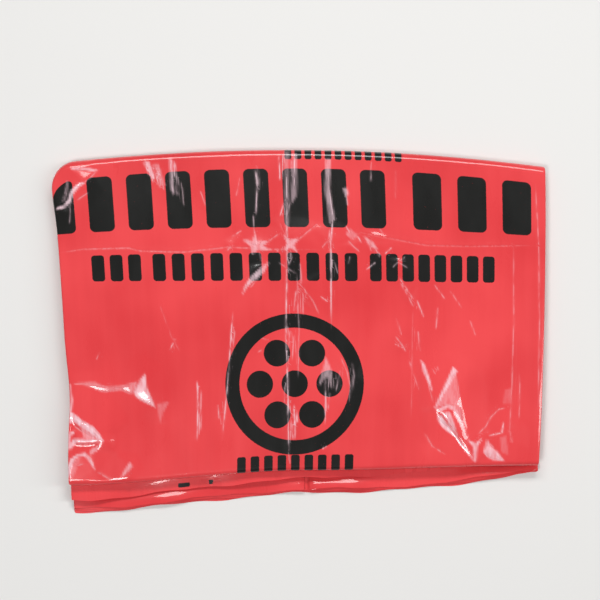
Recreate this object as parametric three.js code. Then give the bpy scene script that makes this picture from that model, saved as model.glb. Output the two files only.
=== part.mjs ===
// A red plastic-film waste bag, folded flat as it comes out of its carton.
// The bag is one tube of film, sealed across its bottom and open at its mouth. Both sides are turned in
// behind the printed middle until they meet, and the strip that this makes is folded across three times,
// so the packet is four leaves thick. Everything is one piece of film, so it is one solid.
// Millimetres, +Z up. The packet lies with its printed face up and its open side, where the mouth and the
// sealed bottom show, towards -Y. The origin is at the middle of its footprint, on the underside.

import * as THREE from "three";

// The bag laid flat
const bagWidth = 610;
const bagLength = 813;

// The fold: two films and the air between them make a ply, and two plies with a slot make a leaf
const plyThickness = 0.7;
const sideSlot = 0.4;
const sideMeetingGap = 3;
const leafGap = 0.6;
const openSideSpread = 1.2;
const sealedEndReach = 7;
const mouthEndReach = 16;
const coverPuff = 2;

// How far the folded film strays from a true rectangle
const spineArch = 5;
const taper = 0.038;
const lean = -0.015;
const leftCornerDroop = 9;
const rightCornerLift = 3;
const tuckedCornerDrop = 15;
const tuckedCornerReach = 14;
const tuckedCornerSpan = 50;
const mouthDrift = 1.5;
const mouthSlant = 0.018;
const sealDrift = 1;
const sealSlant = 0.03;
const freeCornerPull = 7;
const freeCornerSpan = 70;

// How finely curves are stepped
const foldSteps = 8;
const leafSteps = 6;
const acrossSteps = 8;
const sideFoldSteps = 5;

const leafThickness = 2 * plyThickness + sideSlot;
const leafWidth = bagWidth / 2;
const halfWidth = leafWidth / 2;
const halfThickness = leafThickness / 2;

// Centre heights of the four leaves, lowest first, at the folded spine and at the open side
const spinePitch = leafThickness + leafGap;
const openPitch = spinePitch + openSideSpread;
const spineHeight = (leaf) => halfThickness + leaf * spinePitch;
const openHeight = (leaf) => halfThickness + leaf * openPitch;

// Radii of the three cross folds, measured to the middle of the leaf
const outerSpineRadius = 1.5 * spinePitch;
const innerSpineRadius = 0.5 * spinePitch;
const openFoldRadius = 0.5 * openPitch;

// The four flat runs share what the folds leave of the bag's length
const foldedLength = Math.PI * (outerSpineRadius + innerSpineRadius + openFoldRadius);
const coverRun = (bagLength - foldedLength - sealedEndReach - mouthEndReach) / 4;
const spineY = coverRun / 2;
const openY = -coverRun / 2;
const halfPacket = coverRun / 2 + outerSpineRadius + halfThickness;

const smooth = (share) => THREE.MathUtils.smoothstep(share, 0, 1);
const clamp = (share) => THREE.MathUtils.clamp(share, 0, 1);

// One stretch of the fold line, as seen from the packet's side: a straight run or a half turn
function run(fromY, fromZ, toY, toZ) {
  const start = new THREE.Vector3(0, fromY, fromZ);
  const end = new THREE.Vector3(0, toY, toZ);
  const along = end.clone().sub(start).normalize();
  return {
    steps: leafSteps,
    point: (share) => start.clone().lerp(end, share),
    tangent: () => along.clone(),
  };
}

function halfTurn(centreY, centreZ, radius, fromAngle, sense) {
  const angleAt = (share) => fromAngle + sense * share * Math.PI;
  return {
    steps: foldSteps,
    point: (share) =>
      new THREE.Vector3(
        0,
        centreY + radius * Math.cos(angleAt(share)),
        centreZ + radius * Math.sin(angleAt(share)),
      ),
    tangent: (share) =>
      new THREE.Vector3(0, -sense * Math.sin(angleAt(share)), sense * Math.cos(angleAt(share))),
  };
}

// The fold line from the mouth to the sealed bottom: underside, round the spine, over the top, back under
// the cover at the open side, and round the inside of the spine to the sealed end
class FoldLine extends THREE.Curve {
  constructor() {
    super();
    const spineMiddle = (spineHeight(0) + spineHeight(3)) / 2;
    const openMiddle = (openHeight(2) + openHeight(3)) / 2;
    this.stretches = [
      run(openY - mouthEndReach, openHeight(0), spineY, spineHeight(0)),
      halfTurn(spineY, spineMiddle, outerSpineRadius, -Math.PI / 2, 1),
      run(spineY, spineHeight(3), openY, openHeight(3)),
      halfTurn(openY, openMiddle, openFoldRadius, Math.PI / 2, 1),
      run(openY, openHeight(2), spineY, spineHeight(2)),
      halfTurn(spineY, spineMiddle, innerSpineRadius, Math.PI / 2, -1),
      run(spineY, spineHeight(1), openY - sealedEndReach, openHeight(1)),
    ];
    this.steps = this.stretches.reduce((sum, stretch) => sum + stretch.steps, 0);
  }

  // The stretch that a share of the steps falls in, and the share of that stretch
  locate(share) {
    let step = share * this.steps;
    for (const [index, stretch] of this.stretches.entries()) {
      const last = index === this.stretches.length - 1;
      if (step <= stretch.steps || last) {
        return { index, stretch, share: Math.min(step / stretch.steps, 1) };
      }
      step -= stretch.steps;
    }
    return null;
  }

  getPoint(share, target = new THREE.Vector3()) {
    const at = this.locate(share);
    return target.copy(at.stretch.point(at.share));
  }

  getPointAt(share, target) {
    return this.getPoint(share, target);
  }

  getTangentAt(share, target = new THREE.Vector3()) {
    const at = this.locate(share);
    return target.copy(at.stretch.tangent(at.share));
  }
}

// Points from one place to another along the section, the first left out. They lie closer together
// towards both places, because the film's corners bend most.
function stepsTo(outline, toDepth, toAcross, count) {
  const from = outline.currentPoint.clone();
  for (let i = 1; i <= count; i += 1) {
    const share = (1 - Math.cos((Math.PI * i) / count)) / 2;
    outline.lineTo(
      THREE.MathUtils.lerp(from.x, toDepth, share),
      THREE.MathUtils.lerp(from.y, toAcross, share),
    );
  }
}

// A half turn of the film at one side of the section
function sideFold(outline, across, radius, side, outward) {
  const count = sideFoldSteps;
  for (let i = 1; i <= count; i += 1) {
    const angle = (i / count) * Math.PI;
    const depth = (outward ? 1 : -1) * radius * Math.cos(angle);
    outline.lineTo(depth, across + side * radius * Math.sin(angle));
  }
}

// The section of one leaf: the printed middle ply, and the two turned-in sides behind it, which meet with
// a gap. Its x is depth, with the printed face positive, and its y runs across the packet.
function leafSection() {
  const slotHalf = sideSlot / 2;
  const foldCentre = halfWidth - halfThickness;
  const meet = sideMeetingGap / 2;
  const sideSteps = acrossSteps / 2;
  const outline = new THREE.Shape();
  outline.moveTo(halfThickness, -foldCentre);
  stepsTo(outline, halfThickness, foldCentre, acrossSteps);
  sideFold(outline, foldCentre, halfThickness, 1, true);
  stepsTo(outline, -halfThickness, meet, sideSteps);
  outline.lineTo(-slotHalf, meet);
  stepsTo(outline, -slotHalf, foldCentre, sideSteps);
  sideFold(outline, foldCentre, slotHalf, 1, false);
  stepsTo(outline, slotHalf, -foldCentre, acrossSteps);
  sideFold(outline, -foldCentre, slotHalf, -1, true);
  stepsTo(outline, -slotHalf, -meet, sideSteps);
  outline.lineTo(-halfThickness, -meet);
  stepsTo(outline, -halfThickness, -foldCentre, sideSteps);
  sideFold(outline, -foldCentre, halfThickness, -1, false);
  return outline;
}

// How far a leaf has slid sideways, how much its end slants and how far the end's right corner is pulled
// back, at a share of one stretch of the fold line: only the two free ends stray, and each settles to
// nothing at its fold
function strayAt(index, share) {
  if (index === 0) {
    const loose = 1 - share;
    return { drift: mouthDrift * loose, slant: mouthSlant * loose, pull: freeCornerPull * loose };
  }
  if (index === 6) {
    return { drift: sealDrift * share, slant: sealSlant * share, pull: freeCornerPull * share };
  }
  return { drift: 0, slant: 0, pull: 0 };
}

// Moves a point of the squarely folded packet to where the loose film really lies
function lay(point, index, share) {
  const across = point.x / halfWidth;
  const along = point.y / halfPacket;
  const { drift, slant, pull } = strayAt(index, share);
  const laid = point.clone();
  laid.x += taper * along * point.x + lean * point.y + drift;
  laid.y += slant * point.x + pull * smooth((point.x - halfWidth + freeCornerSpan) / freeCornerSpan);
  laid.y += spineArch * (1 - 2 * across * across) * smooth(along);
  laid.y -= leftCornerDroop * smooth(-across) * smooth(-along);
  laid.y += rightCornerLift * smooth(across) * smooth(-along);
  const intoCorner = clamp((-point.x - halfWidth + tuckedCornerReach) / tuckedCornerReach);
  const tuckAcross = 1 - Math.sqrt(1 - intoCorner ** 2);
  const tuckAlong = smooth((point.y - halfPacket + tuckedCornerSpan) / tuckedCornerSpan);
  laid.y -= tuckedCornerDrop * tuckAcross * tuckAlong;
  if (index === 2) {
    laid.z += coverPuff * Math.sin(Math.PI * share) * (1 - across ** 2);
  }
  return laid;
}

// The folded film: the leaf's section drawn along the fold line, then laid as loose film lies
function foldedFilm() {
  const line = new FoldLine();
  const section = leafSection();
  const geometry = new THREE.ExtrudeGeometry(section, { steps: line.steps, extrudePath: line });
  const position = geometry.getAttribute("position");
  const stations = Array.from({ length: line.steps + 1 }, (_, i) => {
    const share = i / line.steps;
    const centre = line.getPointAt(share);
    return { ...line.locate(share), centre, tangent: line.getTangentAt(share) };
  });
  const point = new THREE.Vector3();
  for (let i = 0; i < position.count; i += 1) {
    point.fromBufferAttribute(position, i);
    const station = nearestStation(stations, point);
    position.setXYZ(i, ...lay(point, station.index, station.share));
  }
  return geometry;
}

// The station whose section plane holds a point
function nearestStation(stations, point) {
  let best = null;
  let bestMiss = Infinity;
  for (const station of stations) {
    const away = point.clone().sub(station.centre).setX(0);
    const miss = Math.abs(away.dot(station.tangent)) + Math.max(0, away.length() - halfThickness);
    if (miss < bestMiss) {
      best = station;
      bestMiss = miss;
    }
  }
  return best;
}

const film = new THREE.MeshStandardMaterial({ color: 0xd92b38, roughness: 0.3, metalness: 0 });
const geometry = foldedFilm();
geometry.computeBoundingBox();
const middle = geometry.boundingBox.getCenter(new THREE.Vector3());

const bag = new THREE.Mesh(geometry, film);
bag.name = "film_bag";
bag.position.set(-middle.x, -middle.y, -geometry.boundingBox.min.z);

const packet = new THREE.Group();
packet.add(bag);

export default packet;
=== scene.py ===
import math

import bmesh
import bpy
import numpy as np
from mathutils import Matrix, Vector
from mathutils.bvhtree import BVHTree
from mathutils.geometry import delaunay_2d_cdt


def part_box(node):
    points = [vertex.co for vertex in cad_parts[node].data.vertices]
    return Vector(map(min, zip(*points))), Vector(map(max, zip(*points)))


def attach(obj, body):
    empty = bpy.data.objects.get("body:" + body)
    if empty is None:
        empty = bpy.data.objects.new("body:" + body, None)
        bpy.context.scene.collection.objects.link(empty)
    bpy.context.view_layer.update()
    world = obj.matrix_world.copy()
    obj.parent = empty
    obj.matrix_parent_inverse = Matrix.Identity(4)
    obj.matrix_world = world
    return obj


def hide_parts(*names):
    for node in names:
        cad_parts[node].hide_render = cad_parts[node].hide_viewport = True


# A biohazard waste bag of red film, folded flat. The film is one open tube, drawn as one surface.
# Film sizes are in millimetres, as in the solid, and turn to metres when the mesh is made.

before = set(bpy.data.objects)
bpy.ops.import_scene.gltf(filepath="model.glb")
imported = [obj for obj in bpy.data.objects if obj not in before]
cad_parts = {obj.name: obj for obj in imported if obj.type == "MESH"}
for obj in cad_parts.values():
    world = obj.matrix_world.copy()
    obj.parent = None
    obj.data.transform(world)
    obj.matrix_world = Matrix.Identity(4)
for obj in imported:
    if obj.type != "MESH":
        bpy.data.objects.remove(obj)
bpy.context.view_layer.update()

MM = 0.001

# The bag laid flat
BAG_WIDTH = 610
BAG_LENGTH = 813

# The fold, with the same values as the solid
PLY_THICKNESS = 0.7
SIDE_SLOT = 0.4
SIDE_MEETING_GAP = 3
LEAF_GAP = 0.6
OPEN_SIDE_SPREAD = 1.2
SEALED_END_REACH = 7
MOUTH_END_REACH = 16
COVER_PUFF = 2
SPINE_ARCH = 5
TAPER = 0.038
LEAN = -0.015
LEFT_CORNER_DROOP = 9
RIGHT_CORNER_LIFT = 3
TUCKED_CORNER_DROP = 15
TUCKED_CORNER_REACH = 14
TUCKED_CORNER_SPAN = 50
MOUTH_DRIFT = 1.5
MOUTH_SLANT = 0.018
SEAL_DRIFT = 1
SEAL_SLANT = 0.03
FREE_CORNER_PULL = 7
FREE_CORNER_SPAN = 70

LEAF_THICKNESS = 2 * PLY_THICKNESS + SIDE_SLOT
HALF_WIDTH = BAG_WIDTH / 4
HALF_THICKNESS = LEAF_THICKNESS / 2
SPINE_PITCH = LEAF_THICKNESS + LEAF_GAP
OPEN_PITCH = SPINE_PITCH + OPEN_SIDE_SPREAD
OUTER_SPINE_RADIUS = 1.5 * SPINE_PITCH
INNER_SPINE_RADIUS = 0.5 * SPINE_PITCH
OPEN_FOLD_RADIUS = 0.5 * OPEN_PITCH
FOLDED_LENGTH = math.pi * (OUTER_SPINE_RADIUS + INNER_SPINE_RADIUS + OPEN_FOLD_RADIUS)
COVER_RUN = (BAG_LENGTH - FOLDED_LENGTH - SEALED_END_REACH - MOUTH_END_REACH) / 4
SPINE_Y = COVER_RUN / 2
OPEN_Y = -COVER_RUN / 2
HALF_PACKET = COVER_RUN / 2 + OUTER_SPINE_RADIUS + HALF_THICKNESS

# How finely the film is stepped: fine where it shows, coarse where it is hidden. Steps and lengths are in
# millimetres, and the others are numbers of rows and of steps.
FINE_STEP = 1.15
SIDE_FOLD_STEP = 0.4
PAST_FOLD_SHOWN = 4
PAST_FOLD_STEP = 2
HIDDEN_STEP = 9
HIDDEN_ROW_STEP = 14
ROWS_PER_HIDDEN_ROW = 4
LOOSE_END_LENGTH = 45
LOOSE_END_STEP = 2.4
OUTER_TURN_ROWS = 13
INNER_TURN_ROWS = 7
SIDE_TURN_STEPS = 8
SMALL_TURN_STEPS = 4


def smooth(share):
    """Eases a share in and out between 0 and 1."""
    share = np.clip(share, 0, 1)
    return share * share * (3 - 2 * share)


# The camera, and the pixels of the photograph that places are read from. Lengths are in metres here, but the
# sensor's width and the height of the cover's middle are in millimetres.
PHOTO_SIZE = 600
PANEL_CENTRE_PIXEL = (300, 307.5)
METRES_PER_PIXEL = 0.0006315
CAMERA_HEIGHT = 0.9
NADIR_PIXEL = (251, 432)
SENSOR_WIDTH = 36
COVER_HEIGHT = 12.2

film_low, film_high = (np.array(corner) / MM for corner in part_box("film_bag"))


def panel_middle():
    """Where the middle of the printed panel lies, in metres."""
    panel_height = 2 * HALF_PACKET - OUTER_SPINE_RADIUS + OPEN_FOLD_RADIUS + SPINE_ARCH
    return Vector((0.0, (film_high[1] - panel_height / 2) * MM, COVER_HEIGHT * MM))


def add_object(name, data):
    made = bpy.data.objects.new(name, data)
    bpy.context.scene.collection.objects.link(made)
    return made


def add_camera():
    """The camera, and its place, directions and distance, which tell where a pixel's ray goes."""
    middle = panel_middle()
    shift_x = (PHOTO_SIZE / 2 - PANEL_CENTRE_PIXEL[0]) * METRES_PER_PIXEL
    shift_y = (PANEL_CENTRE_PIXEL[1] - PHOTO_SIZE / 2) * METRES_PER_PIXEL
    target = middle + Vector((shift_x, shift_y, 0.0))
    back_x = (NADIR_PIXEL[0] - PHOTO_SIZE / 2) * METRES_PER_PIXEL
    back_y = (PHOTO_SIZE / 2 - NADIR_PIXEL[1]) * METRES_PER_PIXEL
    place = target + Vector((back_x, back_y, CAMERA_HEIGHT))
    forward = (target - place).normalized()
    right = forward.cross(Vector((0, 1, 0))).normalized()
    up = right.cross(forward)
    data = bpy.data.cameras.new("camera")
    camera = add_object("camera", data)
    turn = Matrix((right, up, -forward)).transposed().to_4x4()
    camera.matrix_world = Matrix.Translation(place) @ turn
    distance = (target - place).length
    data.sensor_width = SENSOR_WIDTH
    data.lens = SENSOR_WIDTH * distance / (PHOTO_SIZE * METRES_PER_PIXEL)
    bpy.context.scene.camera = camera
    return place, right, up, forward, distance


camera_place, camera_right, camera_up, camera_forward, camera_distance = add_camera()


def on_cover(pixel_x, pixel_y):
    """The place on the cover, in millimetres, that a pixel of the photograph shows."""
    span = PHOTO_SIZE * METRES_PER_PIXEL / camera_distance
    across = (pixel_x / PHOTO_SIZE - 0.5) * span
    rise = (0.5 - pixel_y / PHOTO_SIZE) * span
    ray = camera_forward + camera_right * across + camera_up * rise
    reach = (COVER_HEIGHT * MM - camera_place.z) / ray.z
    hit = camera_place + ray * reach
    return hit.x / MM, hit.y / MM


def line_on_cover(pixels):
    """The places of a line of pixels. What follows a pixel's two coordinates is left out."""
    return [on_cover(*pixel[:2]) for pixel in pixels]


def box_on_cover(pixels):
    """The lowest and the highest corner of the box round the places of these pixels."""
    places = np.array(line_on_cover(pixels))
    return places.min(axis=0), places.max(axis=0)


# The section of a leaf, as depth and across

def half_circle(depth, across, depth_radius, across_radius, steps):
    angles = [math.pi * step / steps for step in range(1, steps + 1)]
    return [(depth + depth_radius * math.cos(a), across + across_radius * math.sin(a)) for a in angles]


def half_section():
    """From the middle of the print round one side to the back's middle: flat distance, depth and across."""
    slot_half = SIDE_SLOT / 2
    fold_centre = HALF_WIDTH - HALF_THICKNESS
    edge_radius = (HALF_THICKNESS - slot_half) / 2
    edge_depth = -(HALF_THICKNESS + slot_half) / 2
    meet = SIDE_MEETING_GAP / 2 + edge_radius
    places = [(HALF_THICKNESS, 0.0), (HALF_THICKNESS, fold_centre)]
    places += half_circle(0, fold_centre, HALF_THICKNESS, HALF_THICKNESS, SIDE_TURN_STEPS)
    places.append((-HALF_THICKNESS, meet))
    places += half_circle(edge_depth, meet, -edge_radius, -edge_radius, SMALL_TURN_STEPS)
    places.append((-slot_half, fold_centre))
    places += half_circle(0, fold_centre, -slot_half, slot_half, SMALL_TURN_STEPS)
    places.append((slot_half, 0.0))
    places = np.array(places)
    lengths = np.hypot(*np.diff(places, axis=0).T)
    along = np.concatenate([[0.0], np.cumsum(lengths)])
    return along, places[:, 0], places[:, 1]


SECTION_ALONG, SECTION_DEPTH, SECTION_ACROSS = half_section()
HALF_ROUND = SECTION_ALONG[-1]
SIDE_FOLD_START = HALF_WIDTH - HALF_THICKNESS
SIDE_FOLD_END = SIDE_FOLD_START + math.pi * HALF_THICKNESS

# Which places of the section end the run behind the print, the turn where the sides meet, the run inside
# them, and the turn at the inner side
BACK_RUN_END = SIDE_TURN_STEPS + 2
MEETING_TURN_END = BACK_RUN_END + SMALL_TURN_STEPS
INNER_RUN_END = MEETING_TURN_END + 1
INNER_TURN_END = INNER_RUN_END + SMALL_TURN_STEPS


def section_at(flat_x):
    """Depth and across, of points at these flat distances from the middle of the print."""
    size = np.abs(flat_x)
    depth = np.interp(size, SECTION_ALONG, SECTION_DEPTH)
    across = np.interp(size, SECTION_ALONG, SECTION_ACROSS) * np.sign(flat_x)
    return depth, across


def evenly(start, end, step):
    """Places from start to end, about a step apart."""
    count = max(1, round((end - start) / step))
    return list(np.linspace(start, end, count + 1))


# Columns of the mesh, as flat distances round the tube, from one side of the back's middle to the other

def half_columns():
    """One side's columns: those that show, and the hidden ones that follow them."""
    shown = evenly(0, SIDE_FOLD_START, FINE_STEP)
    shown += evenly(SIDE_FOLD_START, SIDE_FOLD_END, SIDE_FOLD_STEP)[1:]
    shown += evenly(SIDE_FOLD_END, SIDE_FOLD_END + PAST_FOLD_SHOWN, PAST_FOLD_STEP)[1:]
    hidden = evenly(shown[-1], SECTION_ALONG[BACK_RUN_END], HIDDEN_STEP)[1:]
    hidden += list(SECTION_ALONG[BACK_RUN_END + 1:MEETING_TURN_END + 1])
    hidden += evenly(SECTION_ALONG[MEETING_TURN_END], SECTION_ALONG[INNER_RUN_END], HIDDEN_STEP)[1:]
    hidden += list(SECTION_ALONG[INNER_RUN_END + 1:INNER_TURN_END + 1])
    hidden += evenly(SECTION_ALONG[INNER_TURN_END], HALF_ROUND, HIDDEN_STEP)[1:]
    return shown, hidden


SHOWN_HALF, HIDDEN_HALF = half_columns()
HALF_COLUMNS = np.array(SHOWN_HALF + HIDDEN_HALF)
COLUMNS = np.concatenate([-HALF_COLUMNS[:0:-1], HALF_COLUMNS[:-1]])
COLUMN_IS_SHOWN = np.abs(COLUMNS) < HIDDEN_HALF[0]


# The fold line, from the mouth to the sealed end, as stretches of one straight run or half turn

def spine_height(leaf):
    return HALF_THICKNESS + leaf * SPINE_PITCH


def open_height(leaf):
    return HALF_THICKNESS + leaf * OPEN_PITCH


def run(from_y, from_z, to_y, to_z):
    length = math.hypot(to_y - from_y, to_z - from_z)
    tangent = ((to_y - from_y) / length, (to_z - from_z) / length)

    def at(share):
        return from_y + (to_y - from_y) * share, from_z + (to_z - from_z) * share, *tangent

    return length, at


def half_turn(centre_y, centre_z, radius, from_angle, sense):
    def at(share):
        angle = from_angle + sense * share * math.pi
        return (
            centre_y + radius * math.cos(angle),
            centre_z + radius * math.sin(angle),
            -sense * math.sin(angle),
            sense * math.cos(angle),
        )

    return math.pi * radius, at


SPINE_MIDDLE = (spine_height(0) + spine_height(3)) / 2
OPEN_MIDDLE = (open_height(2) + open_height(3)) / 2
STRETCHES = [
    run(OPEN_Y - MOUTH_END_REACH, open_height(0), SPINE_Y, spine_height(0)),
    half_turn(SPINE_Y, SPINE_MIDDLE, OUTER_SPINE_RADIUS, -math.pi / 2, 1),
    run(SPINE_Y, spine_height(3), OPEN_Y, open_height(3)),
    half_turn(OPEN_Y, OPEN_MIDDLE, OPEN_FOLD_RADIUS, math.pi / 2, 1),
    run(OPEN_Y, open_height(2), SPINE_Y, spine_height(2)),
    half_turn(SPINE_Y, SPINE_MIDDLE, INNER_SPINE_RADIUS, math.pi / 2, -1),
    run(SPINE_Y, spine_height(1), OPEN_Y - SEALED_END_REACH, open_height(1)),
]
MOUTH_RUN, OUTER_SPINE, COVER, OPEN_FOLD, SECOND_RUN, INNER_SPINE, SEALED_RUN = range(7)


def shares_of(stretch):
    """Where the rows of one stretch lie, as shares of its length."""
    length = STRETCHES[stretch][0]
    if stretch in (OUTER_SPINE, OPEN_FOLD):
        return np.linspace(0, 1, OUTER_TURN_ROWS)
    if stretch == INNER_SPINE:
        return np.linspace(0, 1, INNER_TURN_ROWS)
    if stretch == COVER:
        return np.array(evenly(0, length, FINE_STEP)) / length
    if stretch == MOUTH_RUN:
        places = evenly(0, LOOSE_END_LENGTH, LOOSE_END_STEP)
        places += evenly(LOOSE_END_LENGTH, length, HIDDEN_ROW_STEP)[1:]
    elif stretch == SEALED_RUN:
        places = evenly(0, length - LOOSE_END_LENGTH, HIDDEN_ROW_STEP)
        places += evenly(length - LOOSE_END_LENGTH, length, LOOSE_END_STEP)[1:]
    else:
        places = evenly(0, length, HIDDEN_ROW_STEP)
    return np.array(places) / length


def film_rows():
    """Each row's stretch and share, and the flat distance from the mouth."""
    rows = []
    start = 0.0
    for stretch, (length, _) in enumerate(STRETCHES):
        shares = shares_of(stretch)
        if rows:
            shares = shares[1:]
        rows += [(stretch, share, start + share * length) for share in shares]
        start += length
    return rows


ROWS = film_rows()
COVER_MIDDLE_FLAT = STRETCHES[0][0] + STRETCHES[1][0] + STRETCHES[2][0] / 2


def lay(x, y, z, stretch, share):
    """Moves points of the squarely folded packet to where the loose film lies, as in the solid."""
    across = x / HALF_WIDTH
    along = y / HALF_PACKET
    from_mouth = np.where(stretch == MOUTH_RUN, 1 - share, 0.0)
    to_seal = np.where(stretch == SEALED_RUN, share, 0.0)
    drift = MOUTH_DRIFT * from_mouth + SEAL_DRIFT * to_seal
    slant = MOUTH_SLANT * from_mouth + SEAL_SLANT * to_seal
    pull = FREE_CORNER_PULL * (from_mouth + to_seal)
    laid_x = x + TAPER * along * x + LEAN * y + drift
    laid_y = y + slant * x + pull * smooth((x - HALF_WIDTH + FREE_CORNER_SPAN) / FREE_CORNER_SPAN)
    laid_y = laid_y + SPINE_ARCH * (1 - 2 * across**2) * smooth(along)
    laid_y = laid_y - LEFT_CORNER_DROOP * smooth(-across) * smooth(-along)
    laid_y = laid_y + RIGHT_CORNER_LIFT * smooth(across) * smooth(-along)
    into_corner = np.clip((-x - HALF_WIDTH + TUCKED_CORNER_REACH) / TUCKED_CORNER_REACH, 0, 1)
    tuck_across = 1 - np.sqrt(1 - into_corner**2)
    tuck_along = smooth((y - HALF_PACKET + TUCKED_CORNER_SPAN) / TUCKED_CORNER_SPAN)
    laid_y = laid_y - TUCKED_CORNER_DROP * tuck_across * tuck_along
    puff = COVER_PUFF * np.sin(math.pi * share) * (1 - across**2)
    laid_z = z + np.where(stretch == COVER, puff, 0.0)
    return laid_x, laid_y, laid_z


# How much of the cover's soft waves each stretch takes up, at its start and its end, and how much of its
# crumples and creases. A stretch that isn't named takes up none.
WAVE_SHARE = {
    OUTER_SPINE: (0.0, 1.0),
    COVER: (1.0, 1.0),
    OPEN_FOLD: (1.0, 0.55),
    SECOND_RUN: (0.55, 0.55),
    INNER_SPINE: (0.55, 0.25),
    SEALED_RUN: (0.25, 0.25),
}
CRUMPLE_SHARE = {OUTER_SPINE: (0.0, 1.0), COVER: (1.0, 1.0), OPEN_FOLD: (1.0, 0.0)}

# How far round a crumple's box the film under it is still pressed down
DIP_REACH = 10

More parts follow.
